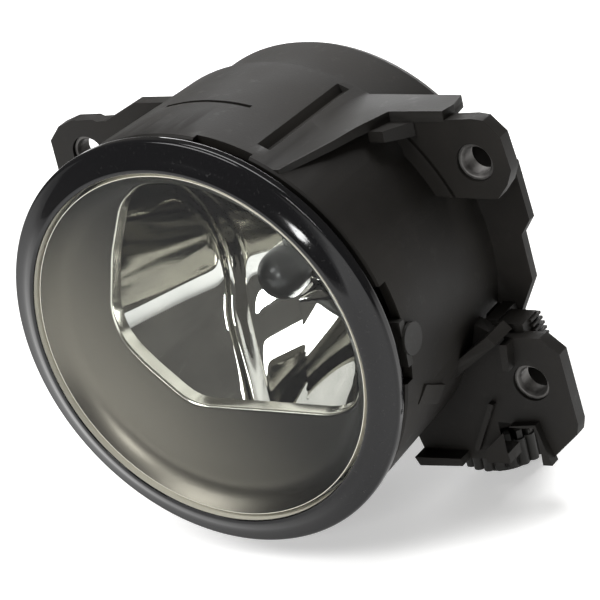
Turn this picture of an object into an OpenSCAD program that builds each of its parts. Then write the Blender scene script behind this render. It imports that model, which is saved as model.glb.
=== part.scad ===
/* [Front rim and lens] */
// Outer radius of the glossy front rim
rim_r = 50; // [49.5:0.1:50.5]
// Radius of the glass lens at its edge
lens_r = 43.2; // [42.8:0.1:43.4]
// How far the lens edge stands in front of the rim's outer edge
lens_rise = 3.2; // [2.6:0.1:3.6]

/* [Carrier] */
// Outer radius of the carrier barrel at its front edge
barrel_front_r = 49.2; // [48.9:0.1:49.6]
// Outer radius of the carrier barrel where the rear housing starts
barrel_rear_r = 47.4; // [47.2:0.1:47.8]
// Depth of the carrier's front edge behind the rim's outer edge
barrel_front_y = 4.2; // [4.0:0.1:4.6]
// Depth of the seam between the barrel and the rear housing
seam_y = 47.5; // [47:0.1:48]
// Depth of the rear face of the rear housing
rear_y = 67; // [66:0.5:70]
// Outer radius of the rear housing
rear_r = 45; // [44.7:0.1:45.1]

/* [Mounting ears] */
// Depth of the front faces of the three ears
ear_y = 38; // [37.8:0.1:38.2]
// Thickness of the ears
ear_t = 3.6; // [3.2:0.1:4.0]
// Sideways place of the upper right hole
ear_ur_x = 55.3; // [55:0.1:55.6]
// Height of the two upper holes above the lamp axis
ear_upper_z = 27.8; // [27.5:0.1:28.1]
// Sideways place of the lower right hole
ear_lr_x = 57.7; // [57.4:0.1:58]
// Height of the lower right hole
ear_lr_z = -26.4; // [-26.7:0.1:-26.1]
// Sideways place of the upper left hole
ear_ul_x = -49.8; // [-50.2:0.1:-49.4]
// Bore radius of the screw inserts
insert_bore_r = 3.25; // [3.1:0.05:3.4]

/* [Aim adjuster] */
// Depth of the hinge line of the lamp unit
pivot_y = 9.5; // [9.3:0.1:9.7]
// Sideways place of the adjuster screw
screw_x = 38.5; // [38.3:0.1:38.7]
// Depth of the adjuster screw
screw_y = 51.5; // [51.3:0.1:51.7]
// Outer radius of the toothed adjuster wheel
wheel_r = 10.6; // [10.2:0.1:10.8]
// Number of teeth on the adjuster wheel
wheel_teeth = 21; // [18:1:24]
// Pitch of the adjuster screw's thread
thread_pitch = 1.25; // [1:0.25:1.5]

/* [Bulb] */
// Depth of the seat on which the bulb flange rests
seat_y = 64; // [63.5:0.5:64.5]
// Radius of the bulb's glass
glass_r = 6; // [5.8:0.1:6.2]
// Reach of the glass in front of the bulb seat
glass_reach = 35; // [33:0.5:36]

/* [Hidden] */
$fn = 96;

wall = 2.2;
plastic = [0.13, 0.125, 0.12];
barrel_front_in_r = barrel_front_r - wall;
barrel_rear_in_r = rear_r;
casing_r = 43.9;
skirt_t = 1;
bowl_side_r = 39.6;
bowl_wall = 1.3;
run_gap = 0.06;
pin_r = 2.5;
pin_end_x = barrel_front_r - 1;

// Adjuster stack, heights along the vertical screw
ball_z = -28;
ball_r = 2.6;
screw_r = 3;
screw_top_z = -34;
screw_bottom_z = -55;
wheel_bottom_z = -52.6;
wheel_disc_h = 6.7;
crown_h = 2.1;
shelf_z = wheel_bottom_z + wheel_disc_h + crown_h + 0.6;
shelf_t = 2;
shelf_back_y = screw_y + wheel_r + 0.4;
retainer_t = 1.9;

// Bulb fixing
neck_r = 20;
neck_y = 57.5;
throat_r = 14.2;
throat_lip_t = 2.4;
tab_t = 2.2;
tab_reach = 2.6;
holder_r = 13.9;

// A solid of revolution about the lamp axis, from [radius, depth] points
module lathe(points) {
    rotate([-90, 0, 0])
        rotate_extrude()
            polygon(points);
}

// A round bar along the lamp axis
module bar_y(r, y0, y1, r2 = -1) {
    translate([0, y0, 0])
        rotate([-90, 0, 0])
            cylinder(h = y1 - y0, r1 = r, r2 = r2 < 0 ? r : r2);
}

// A flat plate across the lamp axis, from an [x, z] outline
module plate_y(points, y0, t) {
    translate([0, y0 + t, 0])
        rotate([90, 0, 0])
            linear_extrude(height = t)
                polygon(points);
}

// A flat plate that lies level, from an [x, y] outline
module plate_z(points, z0, t) {
    translate([0, 0, z0])
        linear_extrude(height = t)
            polygon(points);
}

// A plain block between two corners
module block(low, high) {
    translate(low)
        cube(high - low);
}

// Radius of the barrel's outside at a depth
function barrel_r(y) = barrel_front_r
    + (barrel_rear_r - barrel_front_r) * (y - barrel_front_y) / (seam_y - barrel_front_y);

ear_holes = [[ear_ur_x, ear_upper_z], [ear_lr_x, ear_lr_z], [ear_ul_x, ear_upper_z]];
ear_hole_r = 4.5;

ear_ur = [[36, 37.4], [49.7, 37.9], [56.9, 38.3], [59.6, 37.9], [63, 34.1], [64, 26.3],
    [62.4, 22.8], [59.3, 19.3], [54.2, 19.2], [40, 19.6]];
ear_lr = [[42, -10], [52.3, -15.3], [62.3, -14.8], [66.5, -18.6], [67.6, -36.2], [66.8, -39],
    [58.5, -46.4], [26, -48.1], [24, -40]];
ear_ul = [[-30, 20], [-60.2, 21.5], [-60.1, 31.1], [-56.6, 34.8], [-52.2, 36.4], [-46, 36.7],
    [-44.9, 36.2], [-42, 36.4], [-32.5, 41.1], [-21.3, 41.4]];

module ear_plates() {
    web_y = 50.4;
    plate_y(ear_ur, ear_y, ear_t);
    plate_y(ear_lr, ear_y, ear_t);
    plate_y(ear_ul, ear_y, ear_t);
    // web that joins the two right ears behind them, and its ribs to the ears
    plate_y([[40, 29], [51, 29], [53, 22.2], [57.2, 21.9], [58.3, 8.1], [55.5, 4.3], [55.9, -6.9],
        [51, -15.7], [55, -22], [55, -36], [48, -41.6], [46.6, -41.6], [46.6, -15.9], [40, -18]],
        web_y, 2.4);
    block([54.2, ear_y + ear_t, 19.4], [56.6, web_y + 1, 21.6]);
    block([47, ear_y + ear_t, -14.6], [50.4, web_y + 1, -12.6]);
    // the barrel's wall carried back to the web
    intersection() {
        lathe([[rear_r, seam_y - 1], [barrel_rear_r, seam_y - 1],
            [barrel_rear_r, web_y + 1], [rear_r, web_y + 1]]);
        block([38, seam_y - 2, -16], [50, web_y + 2, 24]);
    }
    // row of short grip ribs at the lower end of the web
    for (i = [0:4])
        block([50, 44, -19 + 1.2 * i], [58.6 - 0.3 * i, 48.6, -18.4 + 1.2 * i]);
    block([49, 41, -20], [56.8, 48, -13.2]);
    for (h = ear_holes)
        translate([h[0], 0, h[1]])
            bar_y(ear_hole_r + 2.2, ear_y, ear_y + ear_t + 1.6);
}

// Sloping shelf over the upper right ear, thicker to the rear, and the wedge under its edge
module upper_shelf() {
    outline = [[24, 0], [28.2, 0], [32.2, 15.4], [33.6, 23.4], [36.6, 32.9], [49.8, 33.4], [50.6, 37.4],
        [49.6, 42.8], [24, 42.8]];
    for (slope = [-4, -2])
        translate([0, 4.6, 39.8])
            rotate([slope, 0, 0])
                plate_z(outline, 0, 1.4);
    hull() {
        block([34.2, 31.4, 35.4], [38, 32, 38]);
        block([36, 37.6, 34.2], [42.2, 38.6, 37.6]);
    }
    // thin curved rib on the ear's face, round the barrel
    rib_r = 51.7;
    intersection() {
        lathe([[rib_r, ear_y - 0.9], [rib_r + 0.7, ear_y - 0.9],
            [rib_r + 0.7, ear_y + 1], [rib_r, ear_y + 1]]);
        block([38, ear_y - 2, 19.6], [50, ear_y + 2, 34.6]);
    }
}

// Ribs on the face of the lower right bracket, and its thickened lower edge
module bracket_ribs() {
    rib_t = 1.6;
    reach = 7;
    // diagonal rib from the barrel side to the top of the plate
    plate_y([[36.6, -23.4], [53.4, -11.2], [55.2, -13.2], [38.4, -25.4]], ear_y - reach, reach + 1);
    plate_y([[53.4, -15.4], [55.4, -15.3], [54.6, -22], [53, -22]], ear_y - 3, 4);
    plate_y([[46.4, -31.6], [47.6, -31.9], [41.2, -44.4], [40, -44]], ear_y - rib_t, rib_t + 1);
    plate_y([[26, -48.1], [37.5, -47.3], [37.5, -45.4], [25, -46]], ear_y - 4, 5);
    // slanted lug on the barrel in front of the bracket
    rotate([0, 22, 0])
        translate([barrel_front_r - 1.4, 16.8, 0])
            rotate([-31, 0, 0])
                block([-1, -6.2, -2.3], [1.4, 6.2, 2.3]);
}

// Arched driver pocket on the bracket's face, and the shelf over the adjuster wheel
module wheel_hood() {
    frame_y = ear_y - 2;
    plate_y([[43.1, -43.9], [51, -36.9], [57.7, -36.1], [60, -46.4], [43.1, -47]], frame_y, 3);
    block([screw_x - 11, ear_y + 1, shelf_z], [screw_x + 12, shelf_back_y, shelf_z + shelf_t]);
    // rib that carries the shelf on the barrel
    block([screw_x - 10, ear_y + 1, shelf_z], [screw_x - 8, seam_y, -36]);
    translate([screw_x, screw_y, shelf_z])
        cylinder(h = shelf_t + 2.6, r = 6);
}

// Space for the wheel, the driver and the screw
module wheel_space() {
    pocket = [[49.1, -54], [49.1, -40.5], [50.8, -37.6], [57.1, -36.8], [57.9, -39.9], [57.2, -54]];
    plate_y(pocket, ear_y - 12, 18);
    translate([screw_x, screw_y, wheel_bottom_z - 6])
        cylinder(h = shelf_z - wheel_bottom_z + 6, r = wheel_r + 0.5);
    // the driver comes through the pocket at a slant and meets the crown teeth end on
    translate([screw_x, screw_y, 0])
        rotate([0, 0, -45])
            block([7.6, -3.6, shelf_z - 1], [24, 3.6, shelf_z + 6]);
    difference() {
        translate([screw_x, screw_y, shelf_z - 1])
            cylinder(h = 8, r = screw_r + run_gap);
        translate([screw_x, screw_y + screw_r, 0])
            block([-0.6, -0.7, shelf_z - 2], [0.6, 1, -30]);
    }
}

// Window through which the lamp unit's arm reaches the adjuster
module arm_window() {
    block([24, ear_y + ear_t + 3, -33.5], [47, screw_y + 6.2, -13]);
}

// Open notches at the front edge that hold the pivot pins
module pivot_notches() {
    for (side = [-1, 1]) {
        mirror([side < 0 ? 1 : 0, 0, 0]) {
            block([40, 0, -9], [56, 7, 14.5]);
            block([40, 0, -pin_r - run_gap], [pin_end_x, pivot_y, pin_r + run_gap]);
            translate([40, pivot_y, 0])
                rotate([0, 90, 0])
                    cylinder(h = pin_end_x - 40, r = pin_r + run_gap);
        }
    }
}

// Shallow moulded groove along the upper right of the barrel
module barrel_groove() {
    taper = atan((barrel_rear_r - barrel_front_r) / (seam_y - barrel_front_y));
    rotate([0, 26.4, 0])
        translate([0, barrel_front_y, barrel_front_r])
            rotate([taper, 0, 0])
                rotate([0, 45, 0])
                    block([-1.15, 6, -1.15], [1.15, 41, 1.15]);
}

module carrier_barrel() {
    color(plastic)
        difference() {
            union() {
                lathe([[40, barrel_front_y], [barrel_front_r - 0.5, barrel_front_y],
                    [barrel_front_r, barrel_front_y + 0.5], [barrel_rear_r, seam_y], [40, seam_y]]);
                difference() {
                    union() {
                        ear_plates();
                        upper_shelf();
                        bracket_ribs();
                        wheel_hood();
                    }
                    wheel_space();
                }
            }
            lathe([[0, barrel_front_y - 1], [barrel_front_in_r, barrel_front_y - 1],
                [barrel_front_in_r, barrel_front_y], [barrel_rear_in_r, 43], [barrel_rear_in_r, seam_y + 12],
                [0, seam_y + 12]]);
            pivot_notches();
            arm_window();
            barrel_groove();
            // small drain slot at the top
            block([-12, 23, barrel_front_r - 3.6], [11, 24.2, barrel_front_r + 1]);
            // cable relief behind the rim at the top
            rotate([0, 18, 0])
                block([-7, barrel_front_y - 1, 44], [7, barrel_front_y + 1.8, 52]);
            for (h = ear_holes)
                translate([h[0], 0, h[1]])
                    bar_y(ear_hole_r, ear_y - 3, ear_y + 12);
        }
}

module rear_housing() {
    color(plastic)
        difference() {
            lathe([[rear_r - 2.4, 43.4], [rear_r, 43.4], [rear_r, rear_y - 2.4],
                [rear_r - 0.7, rear_y - 0.7], [rear_r - 2.4, rear_y], [27, rear_y], [27, rear_y - 2.4],
                [rear_r - 4, rear_y - 2.4], [rear_r - 2.4, rear_y - 4]]);
            arm_window();
            // drain slots at the bottom
            for (a = [-14, 0, 14])
                rotate([0, a, 0])
                    block([-1.6, rear_y - 9, -rear_r - 2], [1.6, rear_y - 5, -rear_r + 4]);
        }
}

module ear_inserts() {
    color("dimgray")
        for (h = ear_holes)
            translate([h[0], 0, h[1]])
                difference() {
                    bar_y(ear_hole_r, ear_y + 0.8, ear_y + ear_t + 1.6);
                    bar_y(insert_bore_r, ear_y, ear_y + 8);
                    bar_y(insert_bore_r + 0.8, ear_y + 0.3, ear_y + 1.6, insert_bore_r);
                }
}

// One keeper clip: it bridges the open slot in front of the pin, behind a round cover
module pivot_clip() {
    clip_x = barrel_front_r + 0.1;
    slot_y = pivot_y - pin_r - 0.1;
    block([barrel_front_r - 3.2, 4.9, -5], [clip_x + 0.2, slot_y, 5.7]);
    translate([clip_x, slot_y + 1.2, 0.4])
        rotate([0, 90, 0])
            cylinder(h = 0.8, r = 3.7);
}

module pivot_clips() {
    color("gray") {
        pivot_clip();
        mirror([1, 0, 0])
            pivot_clip();
    }
}

module wheel_retainer() {
    top_z = wheel_bottom_z - 0.1;
    back_y = shelf_back_y + 0.1;
    hook_z = shelf_z + shelf_t;
    color("gray")
        difference() {
            union() {
                translate([screw_x, screw_y, top_z - retainer_t])
                    cylinder(h = retainer_t, r = 7);
                translate([screw_x, 0, 0]) {
                    block([-3.4, screw_y, top_z - retainer_t], [3.4, back_y + 1.6, top_z]);
                    block([-3.4, back_y, top_z - retainer_t], [3.4, back_y + 1.6, hook_z + 1]);
                    block([-3.4, back_y - 2.2, hook_z], [3.4, back_y + 1.6, hook_z + 1]);
                }
            }
            translate([screw_x, screw_y, top_z - 4])
                cylinder(h = 8, r = screw_r + 0.4);
        }
}

module adjuster_wheel() {
    hub_top = shelf_z - 0.1;
    tooth_r = 1.35;
    color([0.2, 0.2, 0.19])
        translate([screw_x, screw_y, wheel_bottom_z])
            difference() {
                union() {
                    cylinder(h = wheel_disc_h, r = wheel_r - 1.1);
                    cylinder(h = hub_top - wheel_bottom_z, r = 5);
                    // rounded teeth round the edge, crown teeth on top
                    for (i = [0:wheel_teeth - 1])
                        rotate([0, 0, i * 360 / wheel_teeth]) {
                            translate([wheel_r - tooth_r, 0, 0])
                                cylinder(h = wheel_disc_h, r = tooth_r, $fn = 24);
                            translate([wheel_r - 3.6, -0.7, wheel_disc_h - 0.5])
                                cube([3, 1.4, crown_h + 0.5]);
                        }
                }
                translate([0, 0, -1])
                    cylinder(h = 14, r = screw_r + run_gap);
            }
}

module adjuster_screw() {
    turns = floor((screw_top_z - screw_bottom_z - 1.5) / thread_pitch);
    color("silver")
        translate([screw_x, screw_y, 0])
            difference() {
                union() {
                    translate([0, 0, ball_z])
                        sphere(r = ball_r);
                    translate([0, 0, screw_top_z - 0.5])
                        cylinder(h = ball_z - screw_top_z, r = 1.5);
                    rotate_extrude()
                        polygon(concat([[0, screw_bottom_z], [screw_r - 0.5, screw_bottom_z]],
                            [for (i = [0:turns - 1], k = [0:2])
                                [screw_r - (k == 1 ? 0 : 0.45),
                                    screw_bottom_z + 0.5 + (i + k * 0.45) * thread_pitch]],
                            [[screw_r - 0.45, screw_top_z], [0, screw_top_z]]));
                }
                // keyway that stops the screw from turning in its guide
                block([-0.8, screw_r - 0.85, screw_bottom_z - 1], [0.8, screw_r + 1, screw_top_z + 1]);
            }
}

module front_rim() {
    lip_y = -lens_rise + 0.1;
    color([0.05, 0.05, 0.055])
        lathe([[lens_r + 0.1, lip_y + 0.2], [lens_r + 0.5, lip_y], [lens_r + 1.2, lip_y + 0.1],
            [rim_r - 3.2, -1.7], [rim_r - 0.9, -0.95], [rim_r - 0.3, -0.75], [rim_r, -0.4], [rim_r, 1.4],
            [rim_r - 0.3, 1.6], [casing_r + 1.2, 1.6], [casing_r + 1.2, 6.8], [casing_r, 6.8],
            [casing_r, 0], [lens_r + 0.1, 0]]);
}

module lens() {
    dome = 0.9;
    steps = 8;
    front = [for (i = [0:steps]) let (u = i / steps) [lens_r * u, -lens_rise - dome * (1 - u * u)]];
    color([0.85, 0.9, 0.95, 0.3])
        lathe(concat(front, [[lens_r, 3], [lens_r - skirt_t, 3], [lens_r - skirt_t, -lens_rise + 3.4],
            [lens_r * 0.5, -lens_rise + 2.6], [0, -lens_rise + 2.4]]));
}

module lens_seal() {
    inner_r = bowl_side_r + bowl_wall + 0.2;
    color([0.2, 0.2, 0.2])
        lathe([[inner_r, 3], [casing_r - 0.7, 3], [casing_r - 0.7, 4.4], [inner_r, 4.4]]);
}

// Opening of the mask: a straight lower edge, a slanted left edge and an arc on the right
mask_edge = [[-7, -16.6], [30, -16.3], [43, -8.6], [43, 43], [-3, 43], [-8.5, 37], [-13.7, 33.2],
    [-19.8, 20.6], [-24.5, 6], [-23.6, -1], [-19, -7], [-10, -15.5]];
mask_back = [[-7.6, -18.4], [30.6, -18.1], [44, -10.2], [44, 44], [-4, 44], [-9.6, 38.4], [-15.2, 34.4],
    [-21.5, 21.2], [-26.2, 6.2], [-25.2, -1.8], [-20.2, -8.4], [-10.8, -17.1]];

module reflector_mask() {
    flange_y = 1.6;
    back_y = 5.4;
    color([0.62, 0.62, 0.62])
        translate([0, back_y, 0])
            rotate([90, 0, 0])
                difference() {
                    union() {
                        translate([0, 0, back_y - flange_y - 1.4])
                            cylinder(h = 1.4, r = lens_r - skirt_t - 0.2);
                        linear_extrude(height = back_y - flange_y - 0.4)
                            intersection() {
                                circle(r = mask_r + 0.7);
                                polygon(mask_back);
                            }
                    }
                    translate([0, 0, -1])
                        linear_extrude(height = back_y + 1)
                            intersection() {
                                circle(r = mask_r);
                                polygon(mask_edge);
                            }
                }
}

mask_r = 38.5;
bowl_f = 12.5;
bowl_vertex_y = 53;
bowl_hole_r = 9;
// The three screws through the bowl's side keep clear of the pivot pins
lug_angles = [10, 130, 250];

// Depth of the reflector bowl at a radius
function bowl_y(r) = bowl_vertex_y - r * r / (4 * bowl_f);

module reflector() {
    steps = 14;
    inner = [for (i = [0:steps]) let (r = bowl_hole_r + (bowl_side_r - bowl_hole_r) * i / steps)
        [r, bowl_y(r)]];
    outer = [for (i = [steps:-1:0]) let (r = bowl_hole_r + (bowl_side_r - bowl_hole_r) * i / steps)
        [r + bowl_wall * (i / steps), bowl_y(r) + bowl_wall]];
    color([0.8, 0.8, 0.8])
        difference() {
            lathe(concat(inner, [[bowl_side_r, 3.1], [bowl_side_r + bowl_wall, 3.1]], outer));
            // three screw lugs are fixed through the rim of the bowl, clear of the mask
            for (a = lug_angles)
                rotate([0, a, 0])
                    translate([0, 12, bowl_side_r + 0.5])
                        cylinder(h = 6, r = 1.2, center = true, $fn = 32);
        }
}

module reflector_screws() {
    color("silver")
        for (a = lug_angles)
            rotate([0, a, 0])
                translate([0, 12, 0]) {
                    translate([0, 0, bowl_side_r - 0.2])
                        cylinder(h = casing_r - bowl_side_r + 0.3, r = 1.2, $fn = 32);
                    translate([0, 0, casing_r])
                        difference() {
                            cylinder(h = 1.1, r = 2.2, $fn = 32);
                            translate([-1.6, -0.3, 0.5])
                                cube([3.2, 0.6, 1]);
                            translate([-0.3, -1.6, 0.5])
                                cube([0.6, 3.2, 1]);
                        }
                }
}

casing_out = [[casing_r, 16], [42.8, 25], [36, 38], [27, 49], [neck_r + 0.6, neck_y - 1], [neck_r, neck_y]];
casing_in = [[neck_r - 3, neck_y - 3.4], [25, 48.2], [34, 37.2], [40.9, 24.4], [41.9, 15.4]];
casing_mid = [[neck_r - 1, neck_y - 2.2], [26, 48.6], [35, 37.6], [41.9, 24.7], [42.9, 15.7]];
throat_y = seat_y + 2.6;
pocket_r = throat_r + tab_reach + 0.4;

// Arm from the casing out to the adjuster's ball socket
module casing_arm() {
    arm_y = screw_y - 3;
    pad = 4.6;
    plate_y([[20, -8], [34, -20.4], [screw_x + pad, -22.2], [screw_x + pad, -24.6],
        [screw_x - pad, -24.6], [18, -15]], arm_y, 6);
    plate_y([[20, -10], [29, -18], [27, -20], [18, -15]], arm_y - 3, 10);
    block([screw_x - pad, arm_y - 1.4, ball_z + 3.4], [screw_x + pad, arm_y + 7.4, ball_z + 5.8]);
}

// Breather spigot, low on the back of the casing
breather_angle = 200;
breather_out = 31;
breather_y = 57;

module breather(r, y0, y1) {
    rotate([0, breather_angle, 0])
        translate([0, 0, breather_out])
            bar_y(r, y0, y1);
}

module lamp_casing() {
    color(plastic)
        difference() {
            union() {
                lathe(concat([[casing_r - 0.7, 1.8], [casing_r, 1.8]], casing_out, [[neck_r, throat_y],
                    [throat_r, throat_y], [throat_r, throat_y - throat_lip_t],
                    [pocket_r, throat_y - throat_lip_t], [pocket_r, seat_y - 2.6],
                    [throat_r - 2, seat_y - 2.6], [throat_r - 2, neck_y - 3.4]],
                    casing_in, [[casing_r - 2, 4.4], [casing_r - 0.7, 4.4]]));
                difference() {
                    union() {
                        casing_arm();
                        breather(4.5, 42, breather_y);
                        // stiffening ribs on the back of the casing
                        for (a = [60, 150, 250, 300, 345])
                            rotate([0, a, 0])
                                block([-0.9, 43, 18], [0.9, 51, 32]);
                    }
                    lathe(concat([[0, neck_y - 2.2]], casing_mid, [[casing_r - 1, 1], [0, 1]]));
                }
            }
            // notches that let the bayonet tabs in
            for (a = [0, 120, 240])
                rotate([0, a + 40, 0])
                    translate([0, seat_y - 0.2, 0])
                        rotate([-90, 0, 0])
                            intersection() {
                                cylinder(h = 8, r = pocket_r - 0.1);
                                translate([-5.6, -throat_r - 4, 0])
                                    cube([11.2, 8, 8]);
                            }
            breather(2.6, 30, 60);
            for (a = lug_angles)
                rotate([0, a, 0])
                    translate([0, 12, casing_r])
                        cylinder(h = 8, r = 1.2, center = true, $fn = 32);
            for (side = [-1, 1])
                translate([side * (casing_r - 1), pivot_y, 0])
                    rotate([0, 90, 0])
                        cylinder(h = 8, r = pin_r - 0.5, center = true);
        }
}

module pivot_pins() {
    color("silver")
        for (side = [0, 1])
            mirror([side, 0, 0])
                translate([casing_r - 2, pivot_y, 0])
                    rotate([0, 90, 0]) {
                        cylinder(h = 3, r = pin_r - 0.5);
                        translate([0, 0, 2])
                            cylinder(h = pin_end_x - casing_r - 0.1, r = pin_r);
                    }
}

module stud_socket() {
    color("whitesmoke")
        difference() {
            block([screw_x - 4.2, screw_y - 4, ball_z - 2.3], [screw_x + 4.2, screw_y + 4, ball_z + 3.4]);
            translate([screw_x, 0, ball_z])
                bar_y(ball_r + run_gap, screw_y - 5, screw_y + 5);
            block([screw_x - 2, screw_y - 5, ball_z - 4], [screw_x + 2, screw_y + 5, ball_z]);
        }
}

module vent_cap() {
    color([0.16, 0.16, 0.16])
        rotate([0, breather_angle, 0])
            translate([0, 0, breather_out])
                difference() {
                    union() {
                        bar_y(6, breather_y - 4.6, breather_y + 2.6);
                        for (a = [0:45:315])
                            rotate([0, a, 0])
                                block([-0.8, breather_y - 4.2, 5], [0.8, breather_y + 2, 6.7]);
                    }
                    bar_y(4.5, breather_y - 6, breather_y + 0.8);
                }
}

module vent_membrane() {
    color("white")
        breather(4.5, breather_y, breather_y + 0.4);
}

// Plug shroud of the bulb holder, pointing down
module plug_shroud() {
    block([-9.2, seat_y + 8, -30], [9.2, seat_y + 20, -4]);
}

module bulb_holder() {
    lock_y = seat_y + 0.1 - tab_t;
    color([0.1, 0.1, 0.1])
        difference() {
            union() {
                bar_y(11.2, seat_y - 5, seat_y + 4);
                bar_y(holder_r, seat_y - 2.2, seat_y + 3);
                bar_y(neck_r - 1, seat_y + 2.9, seat_y + 5.4);
                bar_y(13, seat_y + 5, seat_y + 20);
                for (a = [0, 120, 240])
                    rotate([0, a, 0])
                        translate([0, lock_y, 0])
                            rotate([-90, 0, 0])
                                intersection() {
                                    cylinder(h = tab_t, r = throat_r + tab_reach);
                                    translate([-5, -throat_r - 4, 0])
                                        cube([10, 8, tab_t]);
                                }
                plug_shroud();
                // grip wings
                block([-16.5, seat_y + 5, -2], [16.5, seat_y + 15, 2]);
                // latch ramp on the shroud
                block([-3, seat_y + 19.6, -27], [3, seat_y + 21.4, -23]);
            }
            // socket for the plug
            block([-7.6, seat_y + 9.6, -31], [7.6, seat_y + 18.4, -14]);
            // hollow for the bulb's collar
            bar_y(7.6, seat_y - 6, seat_y + 1);
        }
}

module bulb_collar() {
    color("silver")
        lathe([[glass_r + 0.1, seat_y - 9], [glass_r + 0.8, seat_y - 9], [glass_r + 0.8, seat_y - 5.4],
            [7.6, seat_y - 5.4], [7.6, seat_y + 1], [6.4, seat_y + 1], [6.4, seat_y - 4.6],
            [glass_r + 0.1, seat_y - 4.6]]);
}

module bulb_glass() {
    tip_y = seat_y - glass_reach;
    dome_y = tip_y + glass_r;
    color([0.9, 0.92, 0.95, 0.3])
        difference() {
            union() {
                bar_y(glass_r, dome_y, seat_y - 5);
                translate([0, dome_y, 0])
                    sphere(r = glass_r);
            }
            bar_y(glass_r - 1, dome_y, seat_y - 12);
            translate([0, dome_y, 0])
                sphere(r = glass_r - 1);
        }
}

module glass_pinch() {
    color("whitesmoke")
        block([-3.6, seat_y - 5, -1.4], [3.6, seat_y + 1, 1.4]);
}

module filament() {
    coil_y = seat_y - 25;
    color("gray")
        lathe(concat([[0, coil_y - 2.4]],
            [for (i = [0:7], k = [0:1]) [k == 0 ? 0.6 : 0.85, coil_y - 2.4 + (i + 0.5 * k) * 0.6]],
            [[0, coil_y + 2.4]]));
}

module filament_posts() {
    coil_y = seat_y - 25;
    color("silver") {
        bar_y(0.4, coil_y + 2.4, seat_y - 12);
        translate([3, 0, 0])
            bar_y(0.4, coil_y - 4, seat_y - 12);
        translate([3.4, coil_y - 4, 0])
            rotate([0, -90, 0])
                cylinder(h = 3.8, r = 0.4, $fn = 24);
        bar_y(0.4, coil_y - 4.4, coil_y - 2.4);
    }
}

module bulb_seal() {
    color([0.5, 0.2, 0.12])
        translate([0, seat_y - 3.6, 0])
            rotate([-90, 0, 0])
                rotate_extrude()
                    translate([11.65, 0])
                        circle(r = 0.45, $fn = 24);
}

module connector_blades() {
    color("goldenrod")
        for (x = [-3.2, 3.2])
            block([x - 1.4, seat_y + 13.6, -23.5], [x + 1.4, seat_y + 14.4, -14]);
}

carrier_barrel();
rear_housing();
ear_inserts();
pivot_clips();
wheel_retainer();
adjuster_wheel();
adjuster_screw();
front_rim();
lens();
lens_seal();
reflector_mask();
reflector();
reflector_screws();
lamp_casing();
pivot_pins();
stud_socket();
vent_cap();
vent_membrane();
bulb_holder();
bulb_collar();
bulb_glass();
glass_pinch();
filament();
filament_posts();
bulb_seal();
connector_blades();
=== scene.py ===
import math

import bmesh
import bpy
import numpy as np
from mathutils import Matrix, Vector


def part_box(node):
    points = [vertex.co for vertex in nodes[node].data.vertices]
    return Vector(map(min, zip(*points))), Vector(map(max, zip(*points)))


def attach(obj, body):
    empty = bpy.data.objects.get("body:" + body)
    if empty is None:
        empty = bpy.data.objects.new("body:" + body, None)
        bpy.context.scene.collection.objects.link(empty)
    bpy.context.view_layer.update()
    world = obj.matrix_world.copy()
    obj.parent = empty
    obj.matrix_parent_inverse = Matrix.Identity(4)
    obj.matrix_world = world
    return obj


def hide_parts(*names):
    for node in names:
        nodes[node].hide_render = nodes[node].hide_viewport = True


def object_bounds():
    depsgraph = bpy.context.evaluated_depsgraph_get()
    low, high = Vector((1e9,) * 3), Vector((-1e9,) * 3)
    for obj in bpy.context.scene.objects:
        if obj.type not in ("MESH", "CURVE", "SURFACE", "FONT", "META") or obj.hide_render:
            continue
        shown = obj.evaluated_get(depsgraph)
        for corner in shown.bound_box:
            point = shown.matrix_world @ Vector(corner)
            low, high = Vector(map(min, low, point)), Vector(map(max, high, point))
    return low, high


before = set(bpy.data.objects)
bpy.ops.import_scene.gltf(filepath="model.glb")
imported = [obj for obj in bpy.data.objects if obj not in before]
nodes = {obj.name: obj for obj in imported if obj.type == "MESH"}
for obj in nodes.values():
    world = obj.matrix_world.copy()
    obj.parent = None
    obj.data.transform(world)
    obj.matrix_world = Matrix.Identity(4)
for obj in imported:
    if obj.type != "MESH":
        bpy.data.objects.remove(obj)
cad_box = [list(corner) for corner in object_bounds()]

# ==== Studio ===============================================================================
# A white sheet under the lamp, four soft boxes and a grey surround. A long lens looks from the
# front right and above, and is rolled so that the lamp's top leans to the left.
camera_place = Vector((0.3746, -0.4592, 0.2680))
camera_right = Vector((0.8343, 0.5064, -0.2181)).normalized()
camera_back = Vector((0.5494, -0.7303, 0.4060)).normalized()
camera_data = bpy.data.cameras.new("camera")
camera_data.sensor_width = 36
camera_data.lens = 176.4
camera_data.clip_start = 0.01
camera = bpy.data.objects.new("camera", camera_data)
camera_turn = Matrix((camera_right, camera_back.cross(camera_right), camera_back)).transposed()
camera.matrix_world = Matrix.Translation(camera_place) @ camera_turn.to_4x4()
bpy.context.scene.collection.objects.link(camera)
bpy.context.scene.camera = camera


def soft_box(name, place, aim, width, height, watts):
    """A rectangular area light at a place, turned towards a point."""
    data = bpy.data.lights.new(name, "AREA")
    data.shape = "RECTANGLE"
    data.size, data.size_y, data.energy = width, height, watts
    light = bpy.data.objects.new(name, data)
    turn = (Vector(aim) - Vector(place)).to_track_quat("-Z", "Y")
    light.matrix_world = Matrix.Translation(place) @ turn.to_matrix().to_4x4()
    bpy.context.scene.collection.objects.link(light)


soft_box("key", (-0.25, -0.54, 0.68), (0, 0, 0), 0.5, 0.5, 6.5)
soft_box("top", (0.05, 0.35, 0.8), (0, 0.03, 0), 0.7, 0.4, 7)
soft_box("strip", (0.17, -0.80, 0.30), (0, 0, 0), 0.06, 0.24, 2.0)
soft_box("back", (-0.30, 0.85, 0.20), (0, 0.03, 0), 0.5, 0.3, 3)
bpy.context.scene.view_settings.view_transform = "Standard"

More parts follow.
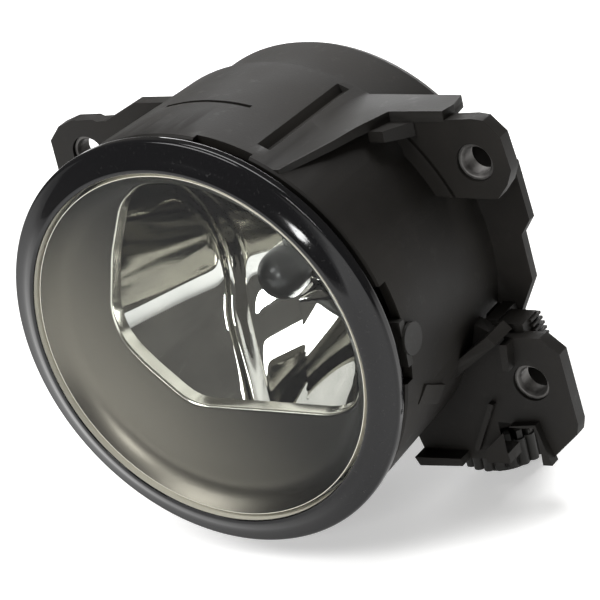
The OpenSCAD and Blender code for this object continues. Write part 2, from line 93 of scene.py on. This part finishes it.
world = bpy.data.worlds.new("surround")
bpy.context.scene.world = world
world.use_nodes = True
surround = world.node_tree.nodes["Background"].inputs
surround["Color"].default_value = (0.42, 0.4, 0.37, 1)
surround["Strength"].default_value = 0.32

floor_z = cad_box[0][2] - 0.001
floor_half = 3
floor_mesh = bpy.data.meshes.new("floor")
floor_corners = [(-floor_half, -floor_half), (floor_half, -floor_half),
                 (floor_half, floor_half), (-floor_half, floor_half)]
floor_mesh.from_pydata([(x, y, floor_z) for x, y in floor_corners], [], [(0, 1, 2, 3)])
floor = bpy.data.objects.new("floor", floor_mesh)
bpy.context.scene.collection.objects.link(floor)
paper = bpy.data.materials.new("white paper")
paper.use_nodes = True
paper_look = paper.node_tree.nodes["Principled BSDF"].inputs
paper_look["Base Color"].default_value = (0.9, 0.9, 0.895, 1)
paper_look["Roughness"].default_value = 0.9
paper_look["Emission Color"].default_value = (1, 1, 1, 1)
paper_look["Emission Strength"].default_value = 0.4
floor_mesh.materials.append(paper)


# ==== Lamp casing ==========================================================================
# The bowl-shaped back of the lamp unit, one injection moulding in smooth black plastic with
# its bulb neck, breather spigot and adjuster arm. The lens is bonded to its front edge.
class Field:
    """A value that changes over a surface: one output socket of a material's nodes.
    Arithmetic on it adds Math nodes, and node() adds any other node."""

    def __init__(self, tree, socket=None):
        self.tree = tree
        self.socket = socket

    def node(self, kind, settings=(), inputs=(), out=0):
        """One output of a new node, with its settings and its inputs given by name."""
        made = self.tree.nodes.new(kind)
        for name, value in dict(settings).items():
            setattr(made, name, value)
        for name, value in dict(inputs).items():
            if isinstance(value, Field):
                self.tree.links.new(value.socket, made.inputs[name])
            else:
                made.inputs[name].default_value = value
        return Field(self.tree, made.outputs[out])

    def maths(self, operation, first, second):
        return self.node("ShaderNodeMath", {"operation": operation}, {0: first, 1: second})

    def __add__(self, other):
        return self.maths("ADD", self, other)

    def __sub__(self, other):
        return self.maths("SUBTRACT", self, other)

    def __mul__(self, other):
        return self.maths("MULTIPLY", self, other)

    def __rsub__(self, other):
        return self.maths("SUBTRACT", other, self)

    __radd__ = __add__
    __rmul__ = __mul__

    def step(self, low, high):
        """0 below low, 1 above high, and a smooth rise between them."""
        settings = {"interpolation_type": "SMOOTHSTEP"}
        inputs = {"Value": self, "From Min": low, "From Max": high}
        return self.node("ShaderNodeMapRange", settings, inputs)

    def blend(self, low, high):
        """The colour low where this is 0, and high where it is 1."""
        share_input, low_input, high_input, colour_output = 0, 6, 7, 2
        inputs = {share_input: self, low_input: low, high_input: high}
        return self.node("ShaderNodeMix", {"data_type": "RGBA"}, inputs, colour_output)

    def bump(self, depth, distance):
        """A normal for a surface that rises by this value, distance metres at most."""
        inputs = {"Height": self, "Strength": depth, "Distance": distance}
        return self.node("ShaderNodeBump", {}, inputs)

    def noise(self, per_metre, detail=2.0, roughness=0.5):
        """Cloudy noise on the piece's own coordinates, with so many cells to the metre."""
        place = self.node("ShaderNodeTexCoord", out="Object")
        inputs = {"Vector": place, "Scale": per_metre, "Detail": detail, "Roughness": roughness}
        return self.node("ShaderNodeTexNoise", {}, inputs)

    def along(self, axis):
        """The piece's own coordinate along X, Y or Z, in metres."""
        place = self.node("ShaderNodeTexCoord", out="Object")
        return self.node("ShaderNodeSeparateXYZ", {}, {0: place}, axis)

    def end(self, shader):
        """Makes shader the material's surface."""
        self.tree.links.new(shader.socket, self.tree.nodes["Material Output"].inputs["Surface"])


def new_material(name):
    """An empty material, and a Field to build its nodes with."""
    material = bpy.data.materials.new(name)
    material.use_nodes = True
    tree = material.node_tree
    tree.nodes.remove(tree.nodes["Principled BSDF"])
    return material, Field(tree)


def moulded_plastic(name, dark, light, shine, grain_depth):
    """Moulded plastic: two close tones in soft clouds, fine spark-eroded grain, and rub marks."""
    material, paint = new_material(name)
    clouds_per_metre, grains_per_metre, rubs_per_metre = 38, 2600, 210
    grain_height = 0.00008
    cloud = paint.noise(clouds_per_metre, 3.0).step(0.35, 0.68)
    grain = paint.noise(grains_per_metre, 2.0, 0.6)
    rub = paint.noise(rubs_per_metre, 4.0, 0.7).step(0.56, 0.74)
    tone = (cloud * 0.75 + rub * 0.25).blend((*dark, 1), (*light, 1))
    inputs = {"Base Color": tone, "Roughness": shine + 0.1 * cloud - 0.09 * rub,
              "Specular IOR Level": 0.25,
              "Normal": (grain + 0.25 * rub).bump(grain_depth, grain_height)}
    paint.end(paint.node("ShaderNodeBsdfPrincipled", {}, inputs))
    return material


def add_piece(name, mesh, body, material, replaced):
    """Puts a finished mesh in the scene with its material, its body and the nodes it
    stands for."""
    mesh.materials.clear()
    mesh.materials.append(material)
    piece = bpy.data.objects.new(name, mesh)
    bpy.context.scene.collection.objects.link(piece)
    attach(piece, body)
    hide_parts(*replaced)
    return piece


def edged_copy(name, node, body, material, edge):
    """A CAD node's shape with rounded edges: its triangles are merged, flat neighbours joined
    into one face, and a two-step bevel as wide as edge runs along every corner."""
    weld_distance = 4e-6
    flat_angle = math.radians(0.6)
    sharp_angle = math.radians(32)
    mesh = nodes[node].data.copy()
    mesh.name = name
    shape = bmesh.new()
    shape.from_mesh(mesh)
    bmesh.ops.remove_doubles(shape, verts=shape.verts, dist=weld_distance)
    bmesh.ops.dissolve_degenerate(shape, edges=shape.edges, dist=weld_distance)
    bmesh.ops.dissolve_limit(shape, angle_limit=flat_angle, verts=shape.verts, edges=shape.edges)
    shape.to_mesh(mesh)
    shape.free()
    mesh.shade_smooth()
    mesh.set_sharp_from_angle(angle=sharp_angle)
    piece = add_piece(name, mesh, body, material, (node,))
    if edge:
        bevel = piece.modifiers.new("edges", "BEVEL")
        bevel.width, bevel.segments = edge, 2
        bevel.limit_method, bevel.angle_limit = "ANGLE", sharp_angle
        bevel.harden_normals = True
    return piece


casing_plastic = moulded_plastic("casing plastic", (0.012, 0.011, 0.010), (0.022, 0.021, 0.019),
                                 0.48, 0.15)
edged_copy("casing", "lamp_casing", "lamp_unit", casing_plastic, 0.0002)

# ==== Reflector ============================================================================
# A deep moulded bowl, vacuum-coated with aluminium. Its back is split into upright facets
# that spread the beam sideways, with a crease beside the bulb. Three screws hold its rim.
def grid_mesh(name, points, wrap_rows=False, sharp_deg=40):
    """A surface from a grid of points: row by row, with each row closed into a ring. wrap_rows
    also joins the last row to the first. Rings that shrink to a point become a pole."""
    pole_distance = 1e-7
    rows, columns = points.shape[:2]
    bands = rows if wrap_rows else rows - 1
    row, column = np.meshgrid(np.arange(bands), np.arange(columns), indexing="ij")
    below, beside = (row + 1) % rows, (column + 1) % columns
    corners = (row * columns + column, row * columns + beside,
               below * columns + beside, below * columns + column)
    faces = np.stack([corner.ravel() for corner in corners], axis=1)
    mesh = bpy.data.meshes.new(name)
    mesh.from_pydata(points.reshape(-1, 3).tolist(), [], faces.tolist())
    shape = bmesh.new()
    shape.from_mesh(mesh)
    bmesh.ops.remove_doubles(shape, verts=shape.verts, dist=pole_distance)
    bmesh.ops.recalc_face_normals(shape, faces=shape.faces)
    shape.to_mesh(mesh)
    shape.free()
    mesh.shade_smooth()
    mesh.set_sharp_from_angle(angle=math.radians(sharp_deg))
    return mesh


def turned(profile, steps):
    """A profile of [radius, depth] turned about the lamp axis: x = radius sin a, z = radius cos a,
    y = depth."""
    radius, depth = np.array(profile, float).T
    turn = np.linspace(0, 2 * np.pi, steps, endpoint=False)
    x = radius[:, None] * np.sin(turn)
    z = radius[:, None] * np.cos(turn)
    return np.stack([x, np.repeat(depth[:, None], steps, axis=1), z], axis=2)


mirror, paint = new_material("vacuum-coated mirror")
haze = paint.noise(90, 3.0).step(0.3, 0.75)
mirror_inputs = {"Base Color": haze.blend((0.60, 0.595, 0.575, 1), (0.70, 0.69, 0.665, 1)),
                 "Metallic": 1.0, "Roughness": 0.015 + 0.015 * haze,
                 "Normal": paint.noise(60, 1.0).bump(0.02, 0.0003)}
paint.end(paint.node("ShaderNodeBsdfPrincipled", {}, mirror_inputs))

bowl_low, bowl_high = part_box("reflector")
bowl_inset = 0.0013
bowl_rim_r = bowl_high.x - bowl_inset
bowl_front_y = bowl_low.y
bowl_back_y = bowl_high.y - bowl_inset
bowl_hole_r = 0.009
bowl_focal = 0.0125
bowl_wall = 0.0011
bowl_side_depth = 0.004
bowl_steps, bowl_rings = 300, 110
facet_edges = np.array([-0.060, -0.0195, -0.0065, 0.0075, 0.021, 0.060])
facet_lean, facet_bow = 0.10, 6.0
facet_bulge = np.array([0.0, 0.0007, 0.0002, 0.0009, 0.0])
facet_slope = np.array([0.0, 0.0, 0.3, 0.0, 0.0])
slope_top_z, slope_fade = -0.009, 0.003
crease_left, crease_sweep, crease_bend_z = -0.0198, 0.008, -0.012
crease_drop, crease_end, crease_power = 0.019, 1.2, 1.5
crease_height, crease_width = 0.0017, 0.0016


def bowl_depth(x, z):
    """Depth of the mirror: a paraboloid, back - r^2 / (4 focal), and in front of it on each
    upright facet a pillow that is highest in its middle, bulge (1 - s^2), with s from -1 to 1
    across the facet. The facet under the bulb is turned to the right by a steady slope. An
    upright crease, a bell curve across its line, stands left of the bulb. The facets' edges
    lean and bow: x + lean z - bow z^2 is the same all along an edge."""
    leaning = x + facet_lean * z - facet_bow * z * z
    which = np.clip(np.searchsorted(facet_edges, leaning) - 1, 0, len(facet_bulge) - 1)
    low, high = facet_edges[which], facet_edges[which + 1]
    across = (2 * leaning - low - high) / (high - low)
    fall = np.clip((crease_bend_z - z) / crease_drop, 0, crease_end)
    crease_x = crease_left + crease_sweep * fall ** crease_power
    crease = crease_height * np.exp(-((x - crease_x) / crease_width) ** 2)
    slope_share = np.clip((slope_top_z - z) / slope_fade, 0, 1)
    turned_facet = facet_slope[which] * (high - leaning) * slope_share
    bowl = bowl_back_y - (x * x + z * z) / (4 * bowl_focal)
    return bowl - facet_bulge[which] * (1 - across ** 2) - crease - turned_facet


bowl_turn = np.linspace(0, 2 * np.pi, bowl_steps, endpoint=False)
bowl_radius = np.linspace(bowl_hole_r, bowl_rim_r, bowl_rings)[:, None]
bowl_x, bowl_z = bowl_radius * np.sin(bowl_turn), bowl_radius * np.cos(bowl_turn)
bowl_inside = np.stack([bowl_x, bowl_depth(bowl_x, bowl_z), bowl_z], axis=2)
bowl_side = turned([(bowl_rim_r, bowl_front_y + bowl_side_depth), (bowl_rim_r, bowl_front_y)],
                   bowl_steps)
bowl_lip = turned([(bowl_rim_r + bowl_wall, bowl_front_y)], bowl_steps)
coarser = 6
bowl_outside = bowl_inside[::-coarser] + np.array([0, bowl_wall, 0])
bowl_outside[..., 0::2] *= 1 + bowl_wall / bowl_rim_r
bowl_points = np.concatenate([bowl_inside, bowl_side, bowl_lip, bowl_outside])
bowl_mesh = grid_mesh("reflector_bowl", bowl_points, wrap_rows=True, sharp_deg=50)
add_piece("reflector_bowl", bowl_mesh, "lamp_unit", mirror, ("reflector",))

# ==== Reflector mask =======================================================================
# The bezel between the lens and the reflector, one thin moulding with a satin metal coat. Its
# opening has a straight lower edge and a slanted left edge, and it is clipped on the bowl.
mask_low, mask_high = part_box("reflector_mask")
mask_front_y, mask_back_y = mask_low.y, mask_high.y
mask_outer_r = mask_high.x
roll_from_y, roll_to_y = mask_front_y + 0.0001, mask_front_y + 0.0003
mask_metal, paint = new_material("satin metallised bezel")
# Painted reflection: the front of the bezel is painted dark at its upper right and lighter towards
# its lower left, in place of the reflections its coat would show. The rolled lip keeps the bright
# metal.
painted_sheen_sweep = paint.along("Z") * -9.0 + paint.along("X") * -13.0 + 0.16
cloud = paint.noise(45, 2.0)
rolled = paint.along("Y").step(roll_from_y, roll_to_y)
sheen_painted_satin = painted_sheen_sweep.step(0.0, 1.0).blend((0.021, 0.0202, 0.0188, 1), (0.175, 0.160, 0.135, 1))
mask_inputs = {"Base Color": rolled.blend(sheen_painted_satin, (0.80, 0.78, 0.70, 1)), "Metallic": 1.0,
               "Roughness": 0.32 + 0.08 * cloud - 0.2 * rolled,
               "Normal": cloud.bump(0.05, 0.0003)}
paint.end(paint.node("ShaderNodeBsdfPrincipled", {}, mask_inputs))

mask_arc_r = 0.0385
mask_centre = np.array([0.008, 0.011])
mask_corners = 0.001 * np.array([
    [-7, -16.6], [30, -16.3], [43, -8.6], [60, 0], [60, 60], [-3, 43], [-8.5, 37],
    [-13.7, 33.2], [-19.8, 20.6], [-24.5, 6], [-23.6, -1], [-19, -7], [-10, -15.5]])


def opening_outline(steps):
    """The opening's edge as points round its centre. Along each ray from the centre the edge is
    the nearer of the straight sides and the arc, and a running mean rounds its corners."""
    slack = 1e-9
    mean_reach = 5
    turn = np.linspace(0, 2 * np.pi, steps, endpoint=False)
    ray = np.stack([np.sin(turn), np.cos(turn)], axis=1)
    start, side = mask_corners, np.roll(mask_corners, -1, axis=0) - mask_corners
    offset = start - mask_centre
    cross = ray[:, None, 0] * side[:, 1] - ray[:, None, 1] * side[:, 0]
    with np.errstate(divide="ignore", invalid="ignore"):
        reach = (offset[:, 0] * side[:, 1] - offset[:, 1] * side[:, 0]) / cross
        share = (offset[:, 0] * ray[:, None, 1] - offset[:, 1] * ray[:, None, 0]) / cross
    hit = (reach > 0) & (share >= -slack) & (share <= 1 + slack)
    straight = np.where(hit, reach, np.inf).min(axis=1)
    along = ray @ mask_centre
    arc = -along + np.sqrt(along ** 2 + mask_arc_r ** 2 - mask_centre @ mask_centre)
    edge = np.minimum(straight, arc)
    padded = np.concatenate([edge[-mean_reach:], edge, edge[:mean_reach]])
    window = 2 * mean_reach + 1
    edge = np.convolve(padded, np.ones(window) / window, "valid")
    return mask_centre + edge[:, None] * ray, ray


mask_steps = 360
outline, outward = opening_outline(mask_steps)
ring_angle = np.arctan2(outline[:, 0], outline[:, 1])
ring = np.stack([np.sin(ring_angle), np.cos(ring_angle)], axis=1)


def mask_row(flat, depth):
    """One ring of the bezel at a depth, from its [x, z] points."""
    return np.stack([flat[:, 0], np.broadcast_to(depth, mask_steps), flat[:, 1]], axis=1)


roll_r = 0.0009
mask_wall = 0.0007
mask_flare = 0.0002
front_lip = 0.0036
lip_reach = 0.006
outer_back_y = mask_front_y + 0.0014
inner_front_y = mask_front_y + 0.0024
outer_edge = ring * mask_outer_r
rows = [mask_row(outer_edge, outer_back_y), mask_row(outer_edge, mask_front_y - front_lip)]
lip = outline + outward * roll_r
inner_gap = np.linalg.norm(outer_edge - lip, axis=1)
for part in np.linspace(0.02, 0.98, 24):
    flat = outer_edge * (1 - part) + lip * part
    rise = front_lip * np.clip(1 - part * inner_gap / lip_reach, 0, 1) ** 2
    rows.append(mask_row(flat, mask_front_y - rise))
for swing in np.linspace(0, 0.5 * math.pi, 6):
    rolled_in = lip - outward * roll_r * math.sin(swing)
    rows.append(mask_row(rolled_in, mask_front_y + roll_r * (1 - math.cos(swing))))
rows.append(mask_row(outline, mask_back_y))
rows.append(mask_row(outline + outward * mask_wall, mask_back_y))
rows.append(mask_row(outline + outward * (mask_wall + mask_flare), inner_front_y))
mask_mesh = grid_mesh("mask", np.stack(rows), wrap_rows=True)
add_piece("mask", mask_mesh, "lamp_unit", mask_metal, ("reflector_mask",))

# ==== Reflector screws =====================================================================
# Three small pan-head screws, cold-headed and zinc-plated steel. They are driven through the
# casing's side into the bowl's rim.
def steel(name, tone, shine):
    """Zinc-plated steel: a metal with faint blotches of plating and a fine bumpy grain."""
    material, paint = new_material(name)
    blotch = paint.noise(700, 3.0).step(0.3, 0.7)
    dull = tuple(0.72 * channel for channel in tone)
    inputs = {"Base Color": blotch.blend((*dull, 1), (*tone, 1)), "Metallic": 1.0,
              "Roughness": shine + 0.14 * blotch,
              "Normal": paint.noise(3000).bump(0.12, 0.00003)}
    paint.end(paint.node("ShaderNodeBsdfPrincipled", {}, inputs))
    return material


zinc_steel = steel("zinc-plated steel", (0.58, 0.57, 0.55), 0.28)
edged_copy("bowl_screws", "reflector_screws", "lamp_unit", zinc_steel, 0.00012)

# ==== Lens seal ============================================================================
# A soft black rubber ring, moulded in one piece. It is pressed between the back of the lens
# and the casing's front edge, and keeps water out.
seal_rubber = moulded_plastic("seal rubber", (0.010, 0.010, 0.010), (0.020, 0.020, 0.019),
                              0.8, 0.3)
edged_copy("lens_ring", "lens_seal", "lamp_unit", seal_rubber, 0.0002)


# ==== Lens =================================================================================
# A pressed clear glass disc with a ground edge, bonded to the casing's front. Its face is a
# shallow dome, its back thins out towards a skirt round the edge, and light goes through it.
def clear_glass(name, tint, polish, polish_share, cover=(0, 0, 0), paint_mask=None):
    """Clear glass: light passes with a slight tint, and the outer face mirrors more towards
    its edge, by polish_share. Where paint_mask gives 1, paint or a frosted cut hides it."""
    material, paint = new_material(name)
    through = paint.node("ShaderNodeBsdfTransparent", {}, {"Color": (*tint, 1)})
    gloss_inputs = {"Color": (1, 1, 1, 1), "Roughness": polish}
    gloss = paint.node("ShaderNodeBsdfAnisotropic", {}, gloss_inputs)
    inside = paint.node("ShaderNodeNewGeometry", out="Backfacing")
    mirror_share = paint.node("ShaderNodeFresnel", {}, {"IOR": 1.5}) * (1 - inside) * polish_share
    clear = paint.node("ShaderNodeMixShader", {}, {0: mirror_share, 1: through, 2: gloss})
    if paint_mask:
        coat_inputs = {"Base Color": (*cover, 1), "Roughness": 0.3}
        coat = paint.node("ShaderNodeBsdfPrincipled", {}, coat_inputs)
        clear = paint.node("ShaderNodeMixShader", {}, {0: paint_mask(paint), 1: clear, 2: coat})
    paint.end(clear)
    return material


lens_low, lens_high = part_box("lens")
lens_r = lens_high.x
dome_rise = 0.0009
lens_edge_y = lens_low.y + dome_rise
lens_back_y = lens_high.y
lens_rings = 40
seat_width = 0.0010
clear_r = lens_r - seat_width - 0.0002
skirt_y = lens_edge_y + 0.0002
edge_thickness, lens_belly, belly_power = 0.0009, 0.0015, 8
out_r = lens_r * np.linspace(0, 1, lens_rings)[:-1]
front_face = np.stack([out_r, lens_edge_y - dome_rise * (1 - (out_r / lens_r) ** 2)], axis=1)
edge_face = [(lens_r - 0.0001, lens_edge_y + 0.0001), (lens_r, lens_edge_y + 0.0004),
             (lens_r, lens_back_y), (lens_r - seat_width, lens_back_y),
             (lens_r - seat_width, lens_edge_y + 0.0012)]
in_r = clear_r * np.linspace(1, 0, lens_rings)
belly = lens_belly * (1 - (in_r / lens_r) ** belly_power)
back_face = np.stack([in_r, lens_edge_y + edge_thickness + belly], axis=1)
lens_profile = np.concatenate([front_face, edge_face, back_face])


def ground_edge(paint):
    """1 on the frosted skirt round the edge, and 0 on the polished faces."""
    frost_r, frost_y = clear_r + 0.0001, skirt_y + 0.0002
    x, z = paint.along("X"), paint.along("Z")
    outside = (x * x + z * z).step(clear_r ** 2, frost_r ** 2)
    return outside * paint.along("Y").step(skirt_y, frost_y)


lens_glass = clear_glass("pressed glass", (0.955, 0.965, 0.96), 0.02, 0.3,
                         (0.72, 0.69, 0.60), ground_edge)
lens_mesh = grid_mesh("lens_glass", turned(lens_profile, 256), sharp_deg=30)
add_piece("lens_glass", lens_mesh, "lamp_unit", lens_glass, ("lens",))

# ==== Front rim ============================================================================
# The ring that shows in the bumper, moulded in black and lacquered to a high gloss. It slips
# over the casing's front and hides the bonded edge of the lens.
def cut_corners(profile):
    """Rounds a closed profile: in each pass every side keeps its middle, and the points at its
    first and last share stand in for its two corners."""
    passes, share = 2, 0.25
    points = np.array(profile, float)
    for _ in range(passes):
        after = np.roll(points, -1, axis=0)
        first, last = points + share * (after - points), after + share * (points - after)
        pairs = np.stack([first, last], axis=1)
        points = pairs.reshape(-1, points.shape[1])
    return points


gloss_black, paint = new_material("gloss black lacquer")
dust = paint.noise(1500, 3.0, 0.6).step(0.62, 0.72)
swirl = paint.noise(120, 3.0).step(0.3, 0.7)
gloss_inputs = {"Base Color": dust.blend((0.006, 0.006, 0.0068, 1), (0.016, 0.016, 0.016, 1)),
                "Roughness": 0.06 + 0.04 * swirl + 0.1 * dust, "Specular IOR Level": 0.3,
                "Normal": swirl.bump(0.02, 0.0002)}
paint.end(paint.node("ShaderNodeBsdfPrincipled", {}, gloss_inputs))

rim_low, rim_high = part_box("front_rim")
rim_r = rim_high.x
rim_front_y, rim_skirt_y = rim_low.y, rim_high.y
casing_r = 0.0439
rim_back_y = 0.0016
skirt_r = casing_r + 0.0012
rim_hole_r = lens_r + 0.0001
rim_face = [(rim_hole_r, rim_front_y + 0.0002), (lens_r + 0.0003, rim_front_y),
            (lens_r + 0.0008, rim_front_y), (lens_r + 0.0012, rim_front_y + 0.0001),
            (lens_r + 0.0022, rim_front_y + 0.0006), (rim_r - 0.0032, -0.0017),
            (rim_r - 0.0014, -0.00112), (rim_r - 0.0007, -0.00095), (rim_r - 0.0003, -0.0008),
            (rim_r, -0.0003), (rim_r, 0.0002), (rim_r, 0.0014), (rim_r - 0.0002, rim_back_y),
            (rim_r - 0.001, rim_back_y), (skirt_r, rim_back_y), (skirt_r, 0.0022),
            (skirt_r, rim_skirt_y), (casing_r, rim_skirt_y), (casing_r, 0),
            (rim_hole_r, 0), (rim_hole_r, -0.001)]
rim_points = turned(cut_corners(rim_face), 320)
rim_mesh = grid_mesh("rim_ring", rim_points, wrap_rows=True, sharp_deg=60)
add_piece("rim_ring", rim_mesh, "lamp_unit", gloss_black, ("front_rim",))

# ==== Pivot pins, ball socket and breather =================================================
# Two steel pins pressed into the casing's sides, a natural nylon socket clipped on the arm,
# and a rubber breather cap with a porous film that lets air but no water in.
white_nylon = moulded_plastic("natural nylon", (0.62, 0.60, 0.54), (0.74, 0.71, 0.65), 0.42, 0.1)
film, paint = new_material("porous film")
weave = paint.noise(5200, 4.0, 0.7)
film_inputs = {"Base Color": weave.blend((0.70, 0.70, 0.67, 1), (0.88, 0.88, 0.86, 1)),
               "Roughness": 0.9, "Normal": weave.bump(0.4, 0.00004)}
paint.end(paint.node("ShaderNodeBsdfPrincipled", {}, film_inputs))
edged_copy("pins", "pivot_pins", "lamp_unit", zinc_steel, 0.0002)
edged_copy("ball_socket", "stud_socket", "lamp_unit", white_nylon, 0.0002)
edged_copy("breather_cap", "vent_cap", "lamp_unit", seal_rubber, 0.0003)
edged_copy("breather_film", "vent_membrane", "lamp_unit", film, 0.00005)


# ==== Bulb =================================================================================
# A twist-in halogen bulb: a clear glass tube with a black painted tip, a pressed collar, and
# a glass-filled plastic base with three bayonet tabs, grip wings and a two-way plug socket.
def tip_paint(paint):
    """1 on the rounded tip, and 0 on the tube behind it."""
    return 1 - paint.along("Y").step(tip_end_y, tip_end_y + tip_fade)


glass_low, glass_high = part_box("bulb_glass")
tube_r = glass_high.x
tip_y, tube_back_y = glass_low.y, glass_high.y
dome_y = tip_y + tube_r
tip_end_y, tip_fade = dome_y + 0.0022, 0.0004
swing = np.linspace(0, 0.5 * np.pi, 20)
outer_dome = np.stack([tube_r * np.sin(swing), dome_y - tube_r * np.cos(swing)], axis=1)
pinch_y = tube_back_y - 0.007
waist_y, waist_r = pinch_y + 0.002, tube_r * 0.97
tube = [(tube_r, pinch_y), (waist_r, waist_y), (waist_r, tube_back_y), (0, tube_back_y)]
glass_rings = turned(np.concatenate([outer_dome, tube]), 96)
bulb_glass = clear_glass("bulb glass", (0.97, 0.975, 0.98), 0.01, 0.8,
                         (0.008, 0.008, 0.008), tip_paint)
add_piece("glass_tube", grid_mesh("glass_tube", glass_rings), "bulb", bulb_glass,
          ("bulb_glass",))
quartz = clear_glass("pinched glass", (0.86, 0.88, 0.88), 0.12, 0.8)
edged_copy("pinched_end", "glass_pinch", "bulb", quartz, 0.0003)

tungsten = steel("tungsten wire", (0.42, 0.41, 0.40), 0.32)
coil_low, coil_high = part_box("filament")
coil_r = coil_high.x - 0.00012
coil_turns, coil_steps, wire_sides, wire_r = 9, 320, 8, 0.00011
share = np.linspace(0, 1, coil_steps)
wind = 2 * np.pi * coil_turns * share
coil_length = coil_high.y - coil_low.y - 2 * wire_r
coil_line = np.stack([coil_r * np.cos(wind), coil_low.y + wire_r + coil_length * share,
                      coil_r * np.sin(wind)], axis=1)
ahead = np.gradient(coil_line, axis=0)
ahead /= np.linalg.norm(ahead, axis=1)[:, None]
radial = np.stack([np.cos(wind), np.zeros(coil_steps), np.sin(wind)], axis=1)
across = np.cross(ahead, radial)
around = np.linspace(0, 2 * np.pi, wire_sides, endpoint=False)[:, None]
thickness = wire_r * np.where((share == 0) | (share == 1), 0.0, 1.0)[:, None, None]
offsets = radial[:, None] * np.cos(around) + across[:, None] * np.sin(around)
coil_mesh = grid_mesh("coil", coil_line[:, None] + thickness * offsets)
add_piece("coil", coil_mesh, "bulb", tungsten, ("filament",))
edged_copy("coil_posts", "filament_posts", "bulb", tungsten, 0)
edged_copy("collar", "bulb_collar", "bulb", zinc_steel, 0.0001)
holder_plastic = moulded_plastic("glass-filled plastic", (0.010, 0.010, 0.011),
                                 (0.024, 0.024, 0.024), 0.5, 0.25)
edged_copy("holder", "bulb_holder", "bulb", holder_plastic, 0.0003)
silicone = moulded_plastic("red silicone", (0.22, 0.045, 0.025), (0.34, 0.085, 0.05), 0.6, 0.1)
edged_copy("holder_seal", "bulb_seal", "bulb", silicone, 0)
tinned_brass = steel("tinned brass", (0.66, 0.60, 0.45), 0.3)
edged_copy("blades", "connector_blades", "bulb", tinned_brass, 0.0001)

# ==== Carrier ==============================================================================
# The bracket that holds the lamp unit: a tapered barrel with three ears, a shelf and ribs, and
# a rear cover welded on behind it. Both are mouldings with fine grain in brown-black plastic.
black_plastic = moulded_plastic("grained black plastic", (0.0068, 0.0059, 0.0049),
                                (0.0145, 0.0127, 0.0105), 0.56, 0.35)
edged_copy("barrel", "carrier_barrel", "carrier", black_plastic, 0.00025)
edged_copy("rear_cover", "rear_housing", "carrier", black_plastic, 0.0003)

# ==== Ear inserts ==========================================================================
# Three turned steel bushes with a dull finish, moulded into the ears. The fixing screws pull
# against them, and not against the plastic.
insert_metal = steel("dull insert steel", (0.16, 0.155, 0.15), 0.5)
edged_copy("bushes", "ear_inserts", "carrier", insert_metal, 0.0002)

# ==== Pivot clips and wheel retainer =======================================================
# Springy dark nylon clips keep the pins in their slots, and a nylon strap under the wheel
# takes the screw's push.
grey_nylon = moulded_plastic("dark nylon", (0.009, 0.0085, 0.0075), (0.017, 0.016, 0.014),
                             0.42, 0.12)
edged_copy("keeper_clips", "pivot_clips", "carrier", grey_nylon, 0.0002)
edged_copy("strap", "wheel_retainer", "carrier", grey_nylon, 0.0002)

# ==== Adjuster wheel and screw =============================================================
# A toothed nylon wheel with crown teeth for a driver, and the zinc-plated screw it lifts. The
# screw ends in a ball that carries the lamp unit's arm.
wheel_nylon = moulded_plastic("wheel nylon", (0.012, 0.0118, 0.011), (0.024, 0.023, 0.021),
                              0.4, 0.12)
edged_copy("aim_wheel", "adjuster_wheel", "wheel", wheel_nylon, 0.00015)

screw_low, screw_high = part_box("adjuster_screw")
screw_x = 0.5 * (screw_low.x + screw_high.x)
ball_r = 0.0026
thread_r = 0.5 * (screw_high.x - screw_low.x)
screw_y = screw_low.y + thread_r
ball_z = screw_high.z - ball_r
neck_r = 0.0015
thread_pitch = 0.00125
thread_depth = 0.00045
thread_root_r = thread_r - thread_depth
thread_top = ball_z - 0.006
neck_top_z = ball_z - ball_r + 0.0004
screw_sides = 48
rings_per_pitch = 10
thread_z = np.arange(screw_low.z + 0.0005, thread_top - 0.0006, thread_pitch / rings_per_pitch)
swing = np.linspace(-0.5 * np.pi + math.asin(neck_r / ball_r), 0.5 * np.pi, 18)
height = np.concatenate([[screw_low.z, screw_low.z], thread_z,
                         [thread_top, thread_top, neck_top_z], ball_z + ball_r * np.sin(swing)])
body_r = np.concatenate([[0, thread_root_r], np.full(len(thread_z), thread_r),
                         [thread_root_r, neck_r, neck_r], ball_r * np.cos(swing)])
is_thread = np.concatenate([[0, 0], np.ones(len(thread_z)), [0, 0, 0], np.zeros(len(swing))])
turn = np.linspace(0, 2 * np.pi, screw_sides, endpoint=False)
phase = (height[:, None] / thread_pitch - turn / (2 * np.pi)) % 1
groove = thread_depth * np.clip(np.abs(2 * phase - 1) * 1.5 - 0.25, 0, 1) * is_thread[:, None]
radius = body_r[:, None] - groove
screw_points = np.stack([screw_x + radius * np.cos(turn), screw_y + radius * np.sin(turn),
                         np.broadcast_to(height[:, None], radius.shape)], axis=2)
screw_mesh = grid_mesh("screw", screw_points)
add_piece("screw", screw_mesh, "screw", zinc_steel, ("adjuster_screw",))
